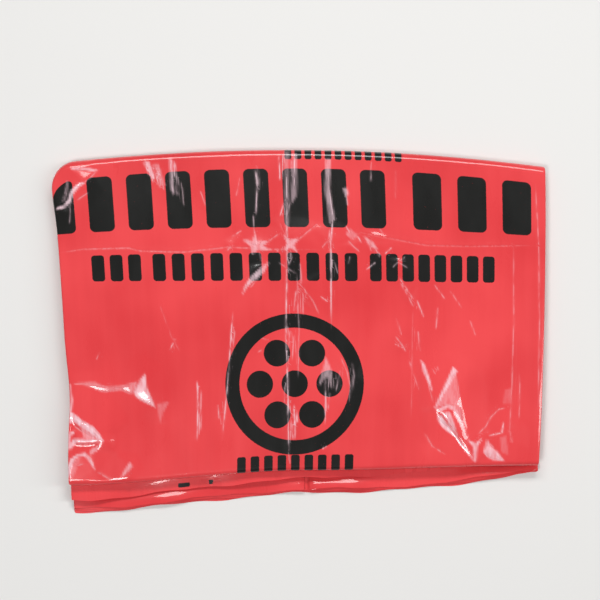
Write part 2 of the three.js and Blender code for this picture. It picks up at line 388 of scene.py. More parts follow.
# Crumples, read off the photograph as pixel x, pixel y and height in millimetres. Points of one line are
# joined by a ridge or a valley, and each crumple settles to nothing at the ring round it.
CRUMPLES = {
    "lower_left": {"ring": [(64, 372), (95, 368), (120, 364), (142, 354), (162, 366), (170, 396),
        (166, 420), (130, 420), (118, 436), (116, 452), (138, 456), (142, 470), (128, 489),
        (62, 489)], "lines": [
        [(70, 384, 0.3), (78, 384, 0.9), (89, 384, 1.1), (100, 387, 0.9), (111, 387, 0.8), (120, 388, 0.6),
         (129, 385, 0.8), (138, 382, 0.9), (145, 376, 1.2)],
        [(145, 376, 1.2), (146, 389, 0.8), (155, 407, 0.1)],
        [(138, 382, 0.9), (133, 395, 0.1)],
        [(133, 395, 0.1), (140, 400, -0.2), (155, 407, 0.2)],
        [(91, 388, 0.3), (104, 392, 0.1), (121, 390, 0.1), (133, 395, 0.1)],
        [(70, 413, 2.2), (79, 420, 2.4), (91, 427, 2.5), (98, 433, 2.6), (103, 440, 2.8)],
        [(72, 424, 0.6), (81, 431, 0.5), (90, 436, 1.0), (103, 440, 2.8)],
        [(76, 441, 2.2), (88, 442, 2.1), (103, 440, 2.8)],
        [(75, 445, 0.6), (88, 446, 0.4), (97, 444, 0.8)],
        [(103, 440, 2.8), (99, 446, 2.0), (95, 450, 1.4), (88, 453, 1.6)],
        [(66, 483, 0.4), (68, 471, 0.8), (71, 463, 1.2), (75, 457, 1.3), (80, 455, 1.4), (86, 454, 1.3),
         (89, 457, 1.1), (92, 463, 0.8), (95, 470, 0.4)],
        [(76, 466, 0.9), (84, 464, 0.9)],
        [(97, 472, 0.0), (106, 477, -0.3), (115, 482, -0.1)],
        [(132, 464, 0.9), (129, 471, 0.8), (121, 479, 0.3)],
    ]},
    "lower_right": {"ring": [(414, 352), (436, 350), (456, 350), (484, 370), (488, 392), (496, 396),
        (522, 400), (530, 430), (528, 450), (512, 466), (470, 467), (430, 462), (412, 440),
        (418, 410)], "lines": [
        [(423, 360, 0.5), (424, 373, 1.3), (427, 380, 1.2), (430, 392, 1.2), (434, 407, 1.4)],
        [(454, 369, 1.1), (445, 383, 1.4), (440, 395, 1.5), (435, 407, 1.4)],
        [(454, 369, 1.1), (457, 380, 1.0), (459, 394, 0.8), (461, 409, 0.6), (465, 428, 0.4)],
        [(436, 409, 1.4), (445, 406, 2.2), (451, 405, 2.5), (454, 409, 2.4), (460, 420, 1.7),
         (466, 436, 0.8)],
        [(437, 414, 0.6), (441, 422, 0.1), (453, 432, 0.0), (462, 446, -0.1), (472, 459, 0.2)],
        [(443, 413, 2.6), (449, 420, 2.6), (455, 431, 1.9), (464, 444, 1.2), (473, 458, 0.6)],
        [(467, 441, 0.8), (474, 444, 0.9), (483, 437, 0.4)],
        [(474, 444, 0.9), (475, 452, 0.9), (475, 461, 0.7)],
        [(476, 436, 0.1), (486, 426, -0.5), (491, 417, -0.7), (499, 409, -0.6), (506, 408, -0.3)],
        [(487, 436, 1.2), (494, 435, 1.1), (502, 433, 1.0), (504, 421, 0.6)],
        [(486, 440, 0.9), (497, 451, 0.4), (504, 461, 0.2)],
        [(484, 452, 1.3), (488, 457, -0.1), (497, 460, -0.3), (503, 461, 0.1)],
        [(486, 440, 0.9), (484, 452, 1.3)],
        [(424, 432, -0.5), (432, 446, -0.8), (446, 455, -0.6)],
    ]},
    "tucked_corner": {"ring": [(44, 160), (70, 152), (104, 152), (112, 168), (104, 190), (90, 208),
        (80, 232), (60, 240), (44, 226)], "lines": [
        [(98, 168, 0.3), (92, 175, 0.9), (84, 182, 1.9), (77, 187, 2.3), (72, 195, 2.4), (69, 201, 2.2),
         (63, 207, 1.6), (57, 209, 0.9)],
        [(67, 180, 0.4), (65, 190, 0.2), (62, 199, 0.4)],
        [(72, 169, 0.9), (84, 169, 0.9), (94, 170, 0.4)],
        [(70, 201, 1.6), (70, 212, 0.9), (69, 224, 0.5)],
        [(76, 200, 0.7), (88, 192, 0.6)],
    ]},
    "left_star": {"ring": [(222, 240), (240, 230), (254, 224), (274, 226), (284, 240), (280, 256),
        (272, 272), (258, 288), (242, 301), (236, 284), (246, 264), (234, 258)], "lines": [
        [(258, 247, 1.3), (242, 240, 0.2)],
        [(258, 247, 1.3), (256, 233, 0.2)],
        [(258, 247, 1.3), (270, 240, 0.5), (281, 232, 0.1)],
        [(258, 247, 1.3), (272, 249, 0.2)],
        [(258, 247, 1.3), (262, 262, 0.4)],
        [(242, 295, 0.1), (247, 284, 1.2), (252, 276, 1.3), (260, 268, 1.2), (268, 262, 0.5)],
        [(250, 288, -0.2), (259, 277, -0.2)],
        [(232, 246, 0.9), (227, 251, 0.3)],
    ]},
    "middle_star": {"ring": [(272, 216), (300, 216), (326, 214), (352, 228), (376, 230), (410, 246),
        (420, 280), (424, 316), (402, 300), (384, 276), (350, 262), (330, 266), (326, 300), (322, 326),
        (298, 300), (284, 280), (270, 258)], "lines": [
        [(290, 246, 1.3), (284, 232, 0.8), (280, 222, 0.3)],
        [(290, 246, 1.3), (300, 238, 1.2), (312, 228, 0.6), (318, 223, 0.1)],
        [(290, 246, 1.3), (292, 258, 0.9), (288, 266, 0.4)],
        [(290, 246, 1.3), (276, 252, 0.5)],
        [(296, 280, 0.3), (303, 288, 1.0), (312, 300, 0.9), (320, 316, 0.1)],
        [(328, 240, 1.2), (322, 248, 0.5)],
        [(328, 240, 1.2), (334, 246, 0.4)],
        [(328, 240, 1.2), (330, 228, 0.6)],
        [(348, 240, 0.2), (354, 247, 0.9), (360, 252, 0.2)],
        [(366, 236, 0.2), (374, 246, 1.2), (380, 258, 0.4)],
        [(392, 268, 0.1), (398, 262, 1.0), (406, 256, 0.1)],
        [(400, 282, 0.3), (408, 296, 1.0), (414, 308, 0.2)],
    ]},
    "bottom_middle": {"ring": [(190, 388), (212, 388), (216, 408), (194, 412), (332, 352), (346, 344),
        (362, 352), (366, 384), (352, 414), (336, 400), (386, 328), (412, 340), (410, 362),
        (392, 352)], "lines": [
        [(395, 336, 0.2), (402, 345, 0.7), (406, 352, 0.1)],
        [(340, 356, 0.1), (347, 372, 1.3), (350, 386, 1.1), (349, 404, 0.2)],
        [(352, 362, 0.2), (354, 376, 1.0), (352, 392, 0.1)],
    ]},
}

# Long soft-edged creases: height and reach in millimetres, paleness of the highlight painted along them, and
# points as pixel x and pixel y
CREASES = [
    (0.42, 2.2, 1.0, [(286, 148), (287, 200), (287, 260), (286, 330), (288, 400), (289, 470)]),
    (0.14, 1.6, 0.3, [(297, 270), (299, 330), (298, 380)]),
    (0.4, 1.8, 1.0, [(329, 152), (328, 180), (333, 216), (331, 240), (331, 280), (331, 332)]),
    (0.36, 1.6, 0.9, [(197, 380), (198, 400), (197, 442)]),
    (0.24, 1.3, 0.5, [(201, 388), (201, 432)]),
    (0.26, 1.5, 0.8, [(233, 310), (230, 350), (228, 380), (222, 442)]),
    (0.3, 1.2, 0.5, [(218, 404), (219, 420)]),
    (0.16, 2.0, 0.1, [(413, 306), (412, 360), (411, 420)]),
    (0.16, 2.0, 0.3, [(514, 240), (514, 320), (512, 384), (509, 440)]),
    (0.34, 2.6, 0.25, [(54, 253), (84, 249), (129, 248), (140, 251), (183, 252), (229, 247), (260, 249),
        (330, 250)]),
    (0.34, 2.4, 0.15, [(351, 230), (400, 240), (426, 245), (470, 246), (541, 245)]),
    (0.16, 2.4, 0.1, [(158, 300), (171, 336), (180, 352)]),
    (0.16, 1.2, 0.6, [(176, 338), (169, 351)]),
    (0.22, 2.6, 0.0, [(162, 396), (163, 424)]),
    (0.28, 1.3, 0.9, [(146, 161), (151, 177)]),
    (0.22, 1.4, 0.7, [(154, 163), (163, 183)]),
    (0.26, 1.2, 0.9, [(170, 158), (171, 178), (173, 196)]),
    (0.24, 1.2, 0.9, [(255, 166), (257, 186), (256, 216)]),
    (0.24, 1.2, 0.9, [(295, 152), (294, 196)]),
    (0.18, 1.6, 0.3, [(396, 168), (396, 200)]),
    (0.2, 2.0, 0.35, [(536, 180), (539, 240), (540, 320), (538, 420)]),
]

# Fine sharp streaks, too thin for the mesh, each a crest with a highlight painted along it: for each
# strength, pixel x and pixel y of both ends
STREAKS = {
    0.9: [(143, 160, 150, 176), (172, 158, 173, 176), (256, 164, 258, 186), (279, 154, 280, 180),
        (284, 152, 286, 176), (330, 186, 331, 216), (294, 404, 295, 440), (488, 436, 494, 434),
        (494, 434, 501, 433), (501, 433, 504, 421)],
    0.8: [(328, 164, 329, 184), (368, 240, 372, 252), (322, 449, 327, 446)],
    0.7: [(152, 163, 160, 188), (259, 168, 259, 190), (286, 196, 280, 216), (290, 200, 288, 214),
        (355, 232, 362, 243), (392, 247, 385, 254), (331, 372, 331, 388)],
    0.6: [(147, 162, 153, 182), (175, 160, 178, 196), (292, 158, 292, 178), (366, 270, 376, 262),
        (417, 300, 424, 318), (296, 408, 298, 424), (340, 370, 336, 392), (346, 226, 352, 236),
        (326, 360, 325, 426), (509, 429, 512, 443)],
    0.5: [(158, 164, 164, 190), (253, 214, 255, 236), (346, 190, 348, 206), (372, 160, 371, 182),
        (242, 230, 232, 236), (348, 264, 350, 256), (395, 344, 402, 348), (292, 420, 293, 440),
        (376, 250, 381, 256), (320, 296, 328, 302), (398, 276, 414, 300), (289, 404, 289, 430),
        (296, 290, 294, 312)],
    0.4: [(181, 180, 184, 206), (200, 190, 206, 206), (240, 176, 236, 196), (262, 338, 268, 340),
        (258, 352, 262, 350), (300, 262, 302, 284), (396, 318, 402, 336), (434, 284, 446, 300),
        (438, 306, 436, 330), (418, 330, 420, 352), (290, 330, 288, 350), (294, 334, 292, 362),
        (284, 386, 285, 404), (288, 452, 290, 464), (330, 392, 328, 410), (380, 228, 384, 236),
        (334, 262, 338, 274), (303, 292, 303, 316), (299, 288, 305, 300), (432, 369, 435, 374),
        (235, 330, 232, 356)],
    0.3: [(278, 262, 296, 274), (450, 290, 462, 308), (470, 320, 476, 336), (100, 352, 96, 360),
        (398, 262, 408, 268), (408, 358, 419, 391), (437, 366, 438, 371), (520, 372, 519, 420)],
}

# Points within this band round a ridge carry its crest, which fades out between these two distances
RIDGE_BAND = 3.0
RIDGE_FADE_START = 1.3
RIDGE_FADE_END = 2.1

# Crests against that of a streak of strength 1: a crumple's line, the paleness of the highlight painted
# along it, and the height at which a crease has a full crest
CRUMPLE_CREST = 0.8
CRUMPLE_HIGHLIGHT = 0.35
FULL_CREASE_HEIGHT = 0.4

# Patches of painted highlight, pale where the crumpled film's facets would mirror the lights: how pale they
# are, and their outlines as pixel x and pixel y. Their edges are this soft, in millimetres.
HIGHLIGHT_PATCH_EDGE = 1.3
HIGHLIGHT_PATCHES = [
    (0.9, [(70, 411), (76, 415), (83, 421), (94, 427), (99, 433), (104, 441), (99, 441), (92, 434),
        (80, 426), (75, 422), (70, 423)]),
    (0.45, [(80, 426), (92, 434), (99, 441), (89, 441), (84, 437), (82, 431)]),
    (0.75, [(74, 439), (103, 439), (103, 442), (76, 443), (71, 449), (68, 449), (67, 440), (70, 432),
        (75, 431), (74, 434), (71, 435), (70, 441), (70, 445), (73, 440)]),
    (0.7, [(70, 384), (73, 400), (72, 411), (70, 411), (71, 400)]),
    (0.5, [(102, 443), (97, 451), (90, 455), (91, 450)]),
    (0.75, [(145, 374), (147, 388), (155, 407), (144, 402), (136, 397), (134, 392), (137, 386),
        (140, 380)]),
    (0.2, [(157, 404), (169, 402), (163, 413), (160, 423)]),
    (0.3, [(78, 383), (95, 382), (106, 387), (120, 386), (137, 382), (134, 394), (120, 390), (104, 392),
        (90, 387)]),
    (0.45, [(120, 480), (124, 471), (130, 462), (133, 466), (128, 472)]),
    (0.85, [(66, 482), (67, 469), (71, 459), (79, 454), (86, 453), (90, 457), (93, 463), (95, 470),
        (91, 464), (87, 458), (84, 456), (79, 457), (74, 460), (71, 470), (68, 482)]),
    (0.25, [(70, 472), (74, 460), (80, 458), (77, 468), (72, 480)]),
    (0.95, [(85, 182), (78, 187), (73, 194), (70, 202), (64, 208), (56, 209), (56, 207), (63, 205),
        (68, 199), (70, 191), (75, 186), (81, 182)]),
    (0.8, [(71, 167), (84, 167), (97, 169), (95, 171), (82, 169), (71, 169)]),
    (0.35, [(66, 180), (68, 182), (67, 192), (64, 201), (62, 201), (65, 192)]),
    (0.3, [(455, 368), (458, 393), (462, 420), (470, 444), (459, 424), (452, 405), (446, 404), (436, 408),
        (443, 391)]),
    (0.85, [(453, 367), (457, 371), (450, 384), (443, 395), (437, 407), (434, 408), (441, 393),
        (447, 380)]),
    (0.65, [(435, 409), (440, 408), (447, 404), (454, 406), (459, 414), (463, 426), (456, 418), (452, 410),
        (447, 408), (440, 412)]),
    (0.9, [(437, 414), (441, 416), (447, 424), (453, 432), (460, 441), (475, 462), (465, 451), (455, 437),
        (443, 428), (438, 421)]),
    (0.7, [(441, 413), (449, 412), (454, 424), (457, 436), (450, 427), (445, 418)]),
    (0.9, [(421, 361), (424, 364), (427, 372), (430, 382), (432, 392), (428, 383), (423, 372)]),
    (0.75, [(467, 440), (475, 443), (481, 440), (477, 446), (476, 461), (474, 461), (473, 447)]),
    (0.75, [(487, 439), (490, 446), (497, 452), (504, 461), (493, 460), (487, 457), (483, 452)]),
    (0.12, [(505, 390), (512, 388), (512, 404), (503, 404)]),
    (0.15, [(500, 437), (506, 436), (508, 455), (501, 452)]),
    (0.5, [(243, 239), (252, 241), (255, 234), (258, 242), (270, 240), (263, 246), (272, 250), (259, 250),
        (252, 254), (251, 247)]),
    (0.6, [(284, 235), (290, 240), (299, 238), (294, 245), (297, 252), (290, 248), (283, 251), (287, 244)]),
    (0.75, [(269, 262), (261, 268), (251, 277), (245, 286), (242, 295), (248, 286), (255, 280),
        (264, 272)]),
    (0.7, [(144, 160), (149, 161), (155, 178), (152, 179)]),
    (0.35, [(153, 163), (158, 163), (165, 184), (160, 185)]),
    (0.6, [(169, 158), (172, 158), (174, 194), (171, 190)]),
    (0.25, [(284, 150), (289, 150), (289, 228), (285, 228)]),
    (0.35, [(293, 152), (297, 152), (297, 195), (291, 204)]),
    (0.45, [(326, 158), (331, 158), (330, 190), (335, 219), (330, 224), (325, 190)]),
    (0.4, [(319, 386), (322, 372), (326, 357), (332, 371), (331, 388), (327, 376)]),
    (0.3, [(350, 228), (358, 236), (352, 240), (346, 234)]),
    (0.5, [(343, 188), (347, 187), (349, 193), (346, 197)]),
    (0.5, [(364, 236), (373, 242), (378, 250), (369, 246)]),
]

# Soft waves in the film, and fine ripples on them. Both are longer along the bag, by the stretch.
SOFT_WAVES = {"count": 26, "longest": 150, "shortest": 45, "stretch": 1.3}
SOFT_WAVE_HEIGHT = 0.5
RIPPLES = {"count": 30, "longest": 26, "shortest": 9, "stretch": 3.5}
RIPPLE_HEIGHT = 0.075
WAVE_SEED = 7

# Points of a crumple closer than this become one, and its surface is felt for from this height
MERGE_DISTANCE = 0.3
FEELER_HEIGHT = 50

# How much of its length a crease's form and a ridge's crest take to fade at each end
CREASE_END = 0.12
RIDGE_END = 0.15


def crumple_surface(crumple):
    """The crumple's faces, with its lines as their edges."""
    places = []
    heights = []
    edges = []
    for line in crumple["lines"]:
        start = len(places)
        for pixel_x, pixel_y, height in line:
            places.append(Vector(on_cover(pixel_x, pixel_y)))
            heights.append(height)
        edges += [(start + i, start + i + 1) for i in range(len(line) - 1)]
    for pixel_x, pixel_y in crumple["ring"]:
        places.append(Vector(on_cover(pixel_x, pixel_y)))
        heights.append(0.0)
    joined, _, faces, sources, _, _ = delaunay_2d_cdt(places, edges, [], 0, MERGE_DISTANCE)
    corners = []
    for place, source in zip(joined, sources):
        height = heights[source[0]] if source else nearest_height(place, places, heights)
        corners.append(Vector((place.x, place.y, height)))
    return BVHTree.FromPolygons(corners, faces)


def nearest_height(place, places, heights):
    """The height where two lines cross: that of the nearest point."""
    return min(zip(places, heights), key=lambda pair: (pair[0] - place).length)[1]


def crumple_heights(x, y):
    total = np.zeros_like(x)
    for crumple in CRUMPLES.values():
        surface = crumple_surface(crumple)
        low, high = box_on_cover(sum(crumple["lines"], crumple["ring"]))
        near = (x > low[0]) & (x < high[0]) & (y > low[1]) & (y < high[1])
        for index in np.flatnonzero(near):
            above = Vector((x[index], y[index], FEELER_HEIGHT))
            hit = surface.ray_cast(above, Vector((0, 0, -1)))[0]
            if hit is not None:
                total[index] += hit.z
    return total


def from_segment(x, y, start, end):
    """How far along a segment the nearest place is, from 0 to 1, the distance to it, and on which side."""
    (ax, ay), (bx, by) = start, end
    px, py = x - ax, y - ay
    reach = np.clip((px * (bx - ax) + py * (by - ay)) / math.dist(start, end) ** 2, 0, 1)
    away = np.hypot(px - reach * (bx - ax), py - reach * (by - ay))
    side = np.where(px * (by - ay) - py * (bx - ax) >= 0, 1.0, -1.0)
    return reach, away, side


def line_distance(x, y, points):
    """Distance to a line of points, and how far along it the nearest place is, from 0 to 1."""
    total = sum(math.dist(a, b) for a, b in zip(points, points[1:]))
    best = np.full_like(x, math.inf)
    share = np.zeros_like(x)
    passed = 0.0
    for start, end in zip(points, points[1:]):
        reach, away, _ = from_segment(x, y, start, end)
        closer = away < best
        best = np.where(closer, away, best)
        share = np.where(closer, (passed + reach * math.dist(start, end)) / total, share)
        passed += math.dist(start, end)
    return best, share


def end_fade(share, end):
    """1 along a line, falling to 0 over this share of it at both ends."""
    return smooth(share / end) * smooth((1 - share) / end)


def crease_heights(x, y):
    total = np.zeros_like(x)
    for height, reach, _, pixels in CREASES:
        away, share = line_distance(x, y, line_on_cover(pixels))
        total += height * np.exp(-away / reach) * end_fade(share, CREASE_END)
    return total


def ridge_lines():
    """Every sharp ridge: its points in millimetres, how high its crest is, and how pale its painted highlight
    is.
    """
    lines = []
    for crumple in CRUMPLES.values():
        lines += [(line_on_cover(line), CRUMPLE_CREST, CRUMPLE_HIGHLIGHT) for line in crumple["lines"]]
    for height, _, highlight_paleness, pixels in CREASES:
        lines.append((line_on_cover(pixels), height / FULL_CREASE_HEIGHT, highlight_paleness))
    for strength, streaks in STREAKS.items():
        lines += [(line_on_cover([streak[:2], streak[2:]]), strength, strength) for streak in streaks]
    return lines


def ridge_fields(x, y):
    """Signed distance to the nearest ridge, and its crest's strength and the paleness of its painted
    highlight, faded out round it.
    """
    nearest = np.full_like(x, RIDGE_BAND)
    signed = np.full_like(x, RIDGE_BAND)
    strength = np.zeros_like(x)
    highlight_share = np.zeros_like(x)
    for points, power, highlight_paleness in ridge_lines():
        count = len(points) - 1
        for step, ((ax, ay), (bx, by)) in enumerate(zip(points, points[1:])):
            close = (x > min(ax, bx) - RIDGE_BAND) & (x < max(ax, bx) + RIDGE_BAND)
            close &= (y > min(ay, by) - RIDGE_BAND) & (y < max(ay, by) + RIDGE_BAND)
            index = np.flatnonzero(close)
            reach, away, side = from_segment(x[index], y[index], (ax, ay), (bx, by))
            better = away < nearest[index]
            index, away, side = index[better], away[better], side[better]
            fade = end_fade((step + reach[better]) / count, RIDGE_END)
            fade = fade * smooth((RIDGE_FADE_END - away) / (RIDGE_FADE_END - RIDGE_FADE_START))
            nearest[index] = away
            signed[index] = away * side
            strength[index] = power * fade
            highlight_share[index] = highlight_paleness * fade
    return signed, strength, highlight_share


def inside(x, y, outline):
    """Which points lie inside a closed outline."""
    within = np.zeros(x.shape, dtype=bool)
    for (ax, ay), (bx, by) in zip(outline, outline[1:] + outline[:1]):
        if ay == by:
            continue
        crosses = (ay > y) != (by > y)
        within ^= crosses & (x < ax + (y - ay) / (by - ay) * (bx - ax))
    return within


def highlight_patch_field(x, y):
    """How pale the painted highlight patches make the film at each point."""
    total = np.zeros_like(x)
    for highlight_paleness, pixels in HIGHLIGHT_PATCHES:
        outline = line_on_cover(pixels)
        away, _ = line_distance(x, y, outline + outline[:1])
        depth = np.where(inside(x, y, outline), away, -away)
        total = np.maximum(total, highlight_paleness * smooth(0.5 + depth / HIGHLIGHT_PATCH_EDGE))
    return total


def wave_heights(x, y, rng, count, longest, shortest, stretch):
    """A soft random surface: waves of many directions and lengths, longer along y by the stretch."""
    total = np.zeros_like(x)
    for _ in range(count):
        length = longest * (shortest / longest) ** rng.random()
        angle = rng.random() * 2 * math.pi
        phase = rng.random() * 2 * math.pi
        swing = 2 * math.pi / length
        turn = x * math.cos(angle) + y * math.sin(angle) / stretch
        total += length / longest * np.sin(swing * turn + phase)
    return total / math.sqrt(count)


def soften(heights):
    """Rounds off the facets a little: each point becomes a weighted mean of itself and its neighbours."""
    grid = heights.reshape(-1, len(COLUMNS))
    for axis in (0, 1):
        grid = grid / 2 + (np.roll(grid, 1, axis) + np.roll(grid, -1, axis)) / 4
    return grid.ravel()


def soft_heights(x, y):
    rng = np.random.default_rng(WAVE_SEED)
    total = SOFT_WAVE_HEIGHT * wave_heights(x, y, rng, **SOFT_WAVES)
    total += RIPPLE_HEIGHT * wave_heights(x, y, rng, **RIPPLES)
    return total


def dip_depths(x, y):
    """How far the film under each crumple is pressed down, so that it stays below the printed film."""
    total = np.zeros_like(x)
    for crumple in CRUMPLES.values():
        lowest = min(height for line in crumple["lines"] for _, _, height in line)
        low, high = box_on_cover(crumple["ring"])
        away_x = np.maximum(np.maximum(low[0] - x, x - high[0]), 0)
        away_y = np.maximum(np.maximum(low[1] - y, y - high[1]), 0)
        total += min(lowest, 0) * smooth(1 - np.hypot(away_x, away_y) / DIP_REACH)
    return total


def film_places():
    """Every point of the film: its place, its stretch and share of it, and its distance from the mouth."""
    depth, across = section_at(COLUMNS)
    count = len(COLUMNS)
    grid = np.array([STRETCHES[stretch][1](share) for stretch, share, _ in ROWS])
    stretch, share, flat = (np.repeat([row[i] for row in ROWS], count) for i in range(3))
    depth = np.tile(depth, len(ROWS))
    x = np.tile(across, len(ROWS))
    centre_y, centre_z, along_y, along_z = (np.repeat(grid[:, i], count) for i in range(4))
    ply_middle = np.sign(depth) * (HALF_THICKNESS + SIDE_SLOT / 2) / 2
    depth = depth + (ply_middle - depth) * seal_closeness(stretch, share)
    y = centre_y + along_z * depth
    z = centre_z - along_y * depth
    x, y, z = lay(x, y, z, stretch, share)
    low_y = y.min()
    low_z = z.min()
    y, z = loosen_ends(x, y, z, depth, stretch, share)
    x = x - (x.min() + x.max()) / 2 + (film_low[0] + film_high[0]) / 2
    y = y - low_y + film_low[1]
    z = z - low_z + film_low[2]
    x = bow_sides(x, y)
    return x, y, z, stretch, share, flat


# The sides bow a little to the right, and the left one is dented where the crumple pulls it in
SIDE_BOW = 1.8
DENT_PIXEL = (70, 398)
DENT_DEPTH = 2.2
DENT_LENGTH = 24
DENT_REACH = 40


def bow_sides(x, y):
    along = y / HALF_PACKET
    bowed = x + SIDE_BOW * np.maximum(1 - along**2, 0)
    near = np.exp(-((y - on_cover(*DENT_PIXEL)[1]) / DENT_LENGTH) ** 2)
    return bowed + DENT_DEPTH * near * smooth((-x - HALF_WIDTH + DENT_REACH) / DENT_REACH)


# How far in from the edge the two loose ends move, how far they lift, and how they curl and stray
LOOSE_MOUTH = 10
LOOSE_SEAL = 16
MOUTH_LIFT = 2.4
SEAL_LIFT = 1.2
EDGE_WANDER = 0.7
PLY_STAGGER = 1.3
CORNER_CURL = 3.0
CORNER_CURL_REACH = 45
FLOOR_CLEARANCE = 0.15

# Waves along the loose ends: height, length, phase, and how the phase turns with depth in the leaf. The
# mouth is open by its mean share plus its waves, and never by less than the least share.
MOUTH_WAVES = [(0.45, 17, 0.6, 0), (0.2, 6.1, 2.0, 0)]
MOUTH_MEAN = 0.55
MOUTH_LEAST = 0.05
SEAL_WAVES = [(1.0, 23, 1.9, 0), (0.35, 7.3, 0.0, 0)]
EDGE_WAVES = [(1.0, 13, 1.0, 1), (0.5, 4.7, 0.0, 3)]


def edge_waves(x, depth, waves):
    return sum(height * np.sin(x / length + phase + turn * depth) for height, length, phase, turn in waves)


def loosen_ends(x, y, z, depth, stretch, share):
    """Lets the mouth part and both loose ends ripple, more towards their edges."""
    from_mouth = share * STRETCHES[MOUTH_RUN][0]
    from_seal = (1 - share) * STRETCHES[SEALED_RUN][0]
    mouth = np.where(stretch == MOUTH_RUN, smooth(1 - from_mouth / LOOSE_MOUTH), 0.0)
    seal = np.where(stretch == SEALED_RUN, smooth(1 - from_seal / LOOSE_SEAL), 0.0)
    height_in_leaf = 0.5 - depth / LEAF_THICKNESS
    swell = MOUTH_MEAN + edge_waves(x, depth, MOUTH_WAVES)
    z = z + mouth * MOUTH_LIFT * np.maximum(swell, MOUTH_LEAST) * height_in_leaf
    z = z + mouth * CORNER_CURL * smooth((x - HALF_WIDTH + CORNER_CURL_REACH) / CORNER_CURL_REACH)
    z = z + seal * SEAL_LIFT * edge_waves(x, depth, SEAL_WAVES)
    wander = EDGE_WANDER * edge_waves(x, depth, EDGE_WAVES)
    y = y + (mouth + seal) * (wander - PLY_STAGGER * depth)
    return y, z


# The weld across the bag's bottom, the length above it over which the film closes, and how tightly
SEAL_WIDTH = 5
SEAL_CLOSING = 6
SEAL_TIGHTNESS = 0.96


def seal_closeness(stretch, share):
    """How closely the film is pressed together: most in the weld, and nothing well above it."""
    from_end = (1 - share) * STRETCHES[SEALED_RUN][0]
    closing = smooth((SEAL_WIDTH + SEAL_CLOSING - from_end) / SEAL_CLOSING)
    return np.where(stretch == SEALED_RUN, closing * SEAL_TIGHTNESS, 0.0)


def take_up(shares, stretch, share):
    """How much of a relief each point takes up, between the shares at its stretch's two ends."""
    starts, ends = np.array([shares.get(i, (0.0, 0.0)) for i in range(len(STRETCHES))]).T
    return starts[stretch] + (ends[stretch] - starts[stretch]) * share


def wrinkled_film():
    """The film's points with their relief, their flat places, and the fields that the material reads."""
    x, y, z, stretch, share, flat = film_places()
    soft_share = take_up(WAVE_SHARE, stretch, share)
    moves = soft_share > 0
    flat_x = np.tile(np.abs(COLUMNS), len(ROWS))
    printed_side = smooth((SHOWN_HALF[-1] - flat_x) / (SHOWN_HALF[-1] - SIDE_FOLD_START))
    sharp_share = take_up(CRUMPLE_SHARE, stretch, share) * printed_side
    soft, sharp, dips = (np.zeros_like(x) for _ in range(3))
    soft[moves] = soft_heights(x[moves], y[moves])
    sharp[moves] = soften(crumple_heights(x[moves], y[moves])) + crease_heights(x[moves], y[moves])
    dips[moves] = dip_depths(x[moves], y[moves])
    z = z + soft * soft_share + sharp * sharp_share + dips * soft_share * (1 - sharp_share)
    z = np.maximum(z, film_low[2] + FLOOR_CLEARANCE)
    on_top = (stretch == COVER) | ((stretch == OUTER_SPINE) & (share > 0.5))
    # The ridges' crests, and the highlight painted along them
    distance = np.full_like(x, RIDGE_BAND)
    strength, highlight_share, highlight_patch = (np.zeros_like(x) for _ in range(3))
    distance[on_top], strength[on_top], highlight_share[on_top] = ridge_fields(x[on_top], y[on_top])
    # The painted highlight patches, pale where crumpled facets would catch the lights
    highlight_patch[on_top] = highlight_patch_field(x[on_top], y[on_top])
    fields = {"ridge_distance": distance, "ridge_strength": strength, "ridge_highlight": highlight_share, "highlight_patch": highlight_patch}
    return x, y, z, flat, fields


def row_blocks():
    """First and last row of each band of faces: single rows, but several at once across the cover."""
    stretches = [row[0] for row in ROWS]
    blocks = []
    row = 0
    while row < len(ROWS) - 1:
        size = ROWS_PER_HIDDEN_ROW if stretches[row + 1] == COVER else 1
        while row + size >= len(ROWS) or (size > 1 and stretches[row + size] != COVER):
            size -= 1
        blocks.append((row, row + size))
        row += size
    return blocks


def film_faces():
    """Faces between the rows and columns, and which ones hold the seam between the last column and the first.

    Hidden columns take a whole band of rows as one face.
    """
    count = len(COLUMNS)
    faces = []
    seam_faces = []
    for low, high in row_blocks():
        for column in range(count):
            following = (column + 1) % count
            if COLUMN_IS_SHOWN[column] and COLUMN_IS_SHOWN[following]:
                for step in range(low, high):
                    near = step * count
                    far = near + count
                    faces.append((near + column, near + following, far + following, far + column))
                continue
            if following == 0:
                seam_faces.append(len(faces))
            face = [low * count + column, low * count + following]
            if COLUMN_IS_SHOWN[following]:
                face += [step * count + following for step in range(low + 1, high)]
            face += [high * count + following, high * count + column]
            if COLUMN_IS_SHOWN[column]:
                face += [step * count + column for step in range(high - 1, low, -1)]
            faces.append(tuple(face))
    return faces, seam_faces


def add_flat_map(mesh, flat, seam_faces):
    """The film's places on the bag laid flat, in metres. The back's middle has a place at both sides."""
    corners = np.empty(len(mesh.loops), dtype=np.int32)
    mesh.loops.foreach_get("vertex_index", corners)
    u = np.tile(COLUMNS, len(ROWS))[corners] * MM
    v = (COVER_MIDDLE_FLAT - flat)[corners] * MM
    for face in seam_faces:
        for corner in mesh.polygons[face].loop_indices:
            if corners[corner] % len(COLUMNS) == 0:
                u[corner] = HALF_ROUND * MM
    layer = mesh.uv_layers.new(name="flat_film")
    layer.data.foreach_set("uv", np.column_stack([u, v]).ravel())


def remove_loose(mesh):
    """Removes the points of hidden columns that no face uses."""
    work = bmesh.new()
    work.from_mesh(mesh)
    loose = [vertex for vertex in work.verts if not vertex.link_faces]
    bmesh.ops.delete(work, geom=loose, context="VERTS")
    work.to_mesh(mesh)
    work.free()


def build_film():
    x, y, z, flat, fields = wrinkled_film()
    faces, seam_faces = film_faces()
    mesh = bpy.data.meshes.new("film")
    mesh.from_pydata(np.column_stack([x, y, z]) * MM, [], faces)
    add_flat_map(mesh, flat, seam_faces)
    mesh.shade_smooth()
    for name, values in fields.items():
        field = mesh.attributes.new(name, "FLOAT", "POINT")
        field.data.foreach_set("value", values)
    remove_loose(mesh)
    return add_object("film", mesh)


